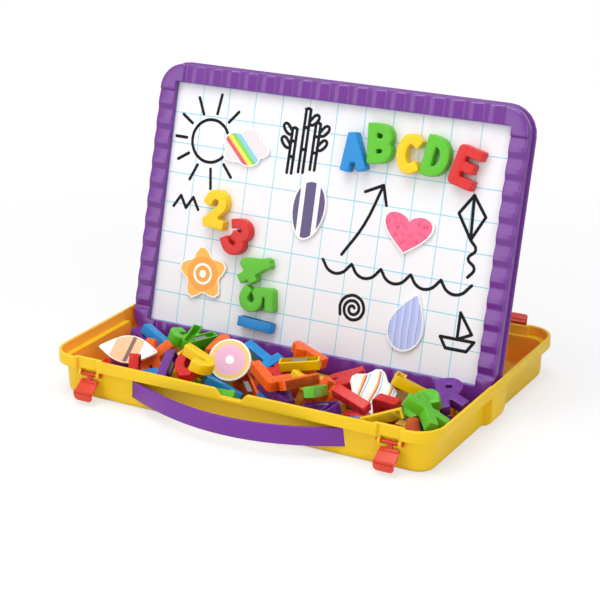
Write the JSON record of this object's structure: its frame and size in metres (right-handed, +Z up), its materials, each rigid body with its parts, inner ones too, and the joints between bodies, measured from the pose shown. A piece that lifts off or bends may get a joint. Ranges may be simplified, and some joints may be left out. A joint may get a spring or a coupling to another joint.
{
  "type": "magnetic letter board case",
  "caption": "Carry case with a leaning magnetic board lid on a shallow tray of loose letters, with hinged latches and a strap handle.",
  "frame": {"origin": "centre of the tray's underside, on the ground", "axes": "+X to the right along the long side, +Y to the rear, +Z up"},
  "size_m": [0.3386, 0.2633, 0.2365],
  "materials": {
    "tray_yellow": "satin moulded yellow plastic",
    "handle_purple": "satin moulded purple plastic",
    "lid_purple": "satin moulded purple plastic",
    "board_white": "glossy white printed dry-wipe film",
    "sheet_steel": "thin plain steel sheet",
    "latch_red": "slightly clear orange-red plastic",
    "ferrite": "dark grey ferrite magnet",
    "card": "printed card on magnet sheet",
    "letter_red": "glossy red plastic",
    "letter_green": "glossy green plastic",
    "letter_blue": "glossy blue plastic",
    "letter_orange": "glossy orange plastic",
    "letter_lemon": "glossy yellow plastic",
    "letter_violet": "glossy violet plastic"
  },
  "bodies": {
    "tray": {"tray": "tray_yellow", "handle_strap": "handle_purple"},
    "lid": {"lid_frame": "lid_purple", "lid_back_panel": "lid_purple", "steel_sheet": "sheet_steel", "board_face": "board_white"},
    "board_pieces": {"board_card_cloud": "card", "board_card_drop": "card", "board_card_heart": "card", "board_card_balloon": "card", "board_card_star": "card", "board_letter_2": "letter_lemon", "board_letter_3": "letter_red", "board_letter_4": "letter_green", "board_letter_5": "letter_green", "board_letter_A": "letter_blue", "board_letter_B": "letter_green", "board_letter_C": "letter_lemon", "board_letter_D": "letter_green", "board_letter_E": "letter_red", "board_letter_I": "letter_blue"},
    "contents": {"pile_card_flower": "card", "pile_card_disc": "card", "pile_card_leaf": "card", "pile_letter_01_H": "letter_red", "pile_letter_02_E": "letter_blue", "pile_letter_03_L": "letter_green", "pile_letter_04_X": "letter_orange", "pile_letter_05_N": "letter_violet", "pile_letter_06_F": "letter_lemon", "pile_letter_07_Z": "letter_red", "pile_letter_08_T": "letter_blue", "pile_letter_09_V": "letter_violet", "pile_letter_10_K": "letter_orange", "pile_letter_11_E": "letter_red", "pile_letter_12_A": "letter_violet", "pile_letter_13_M": "letter_lemon", "pile_letter_14_H": "letter_orange", "pile_letter_15_V": "letter_red", "pile_letter_16_Y": "letter_blue", "pile_letter_17_L": "letter_lemon", "pile_letter_18_N": "letter_red", "pile_letter_19_Z": "letter_green", "pile_letter_20_I": "letter_red", "pile_letter_21_X": "letter_green", "pile_letter_22_7": "letter_blue", "pile_letter_23_P": "letter_violet", "pile_letter_24_U": "letter_blue", "pile_letter_25_R": "letter_violet", "pile_letter_26_S": "letter_green", "pile_letter_27_O": "letter_red", "pile_letter_28_J": "letter_lemon", "pile_letter_29_1": "letter_orange", "pile_letter_30_G": "letter_green", "pile_magnet_11_E": "ferrite", "pile_magnet_12_A": "ferrite"},
    "latch_front_left": {"latch_front_left": "latch_red"},
    "latch_front_right": {"latch_front_right": "latch_red"},
    "latch_rear_left": {"latch_rear_left": "latch_red"},
    "latch_rear_right": {"latch_rear_right": "latch_red"}
  },
  "joints": [
    {"name": "lid_lift", "type": "slide", "parent": "tray", "child": "lid", "axis": [0, 0.2657, 0.9641], "range_m": [0, 0.24]},
    {"name": "board_pieces_pull", "type": "slide", "parent": "lid", "child": "board_pieces", "axis": [0, -0.9641, 0.2657], "range_m": [0, 0.2]},
    {"name": "contents_lift", "type": "slide", "parent": "tray", "child": "contents", "axis": [0, 0, 1], "range_m": [0, 0.25]},
    {"name": "latch_front_left_hinge", "type": "hinge", "parent": "tray", "child": "latch_front_left", "pos_m": [-0.1322, -0.1149, 0.0229], "axis": [1, 0, 0], "range_deg": [-126.6, 0]},
    {"name": "latch_front_right_hinge", "type": "hinge", "parent": "tray", "child": "latch_front_right", "pos_m": [0.1322, -0.1149, 0.0229], "axis": [1, 0, 0], "range_deg": [-126.6, 0]},
    {"name": "latch_rear_left_hinge", "type": "hinge", "parent": "tray", "child": "latch_rear_left", "pos_m": [-0.1322, 0.1149, 0.0229], "axis": [-1, 0, 0], "range_deg": [0, 126.6]},
    {"name": "latch_rear_right_hinge", "type": "hinge", "parent": "tray", "child": "latch_rear_right", "pos_m": [0.1322, 0.1149, 0.0229], "axis": [-1, 0, 0], "range_deg": [0, 126.6]}
  ]
}
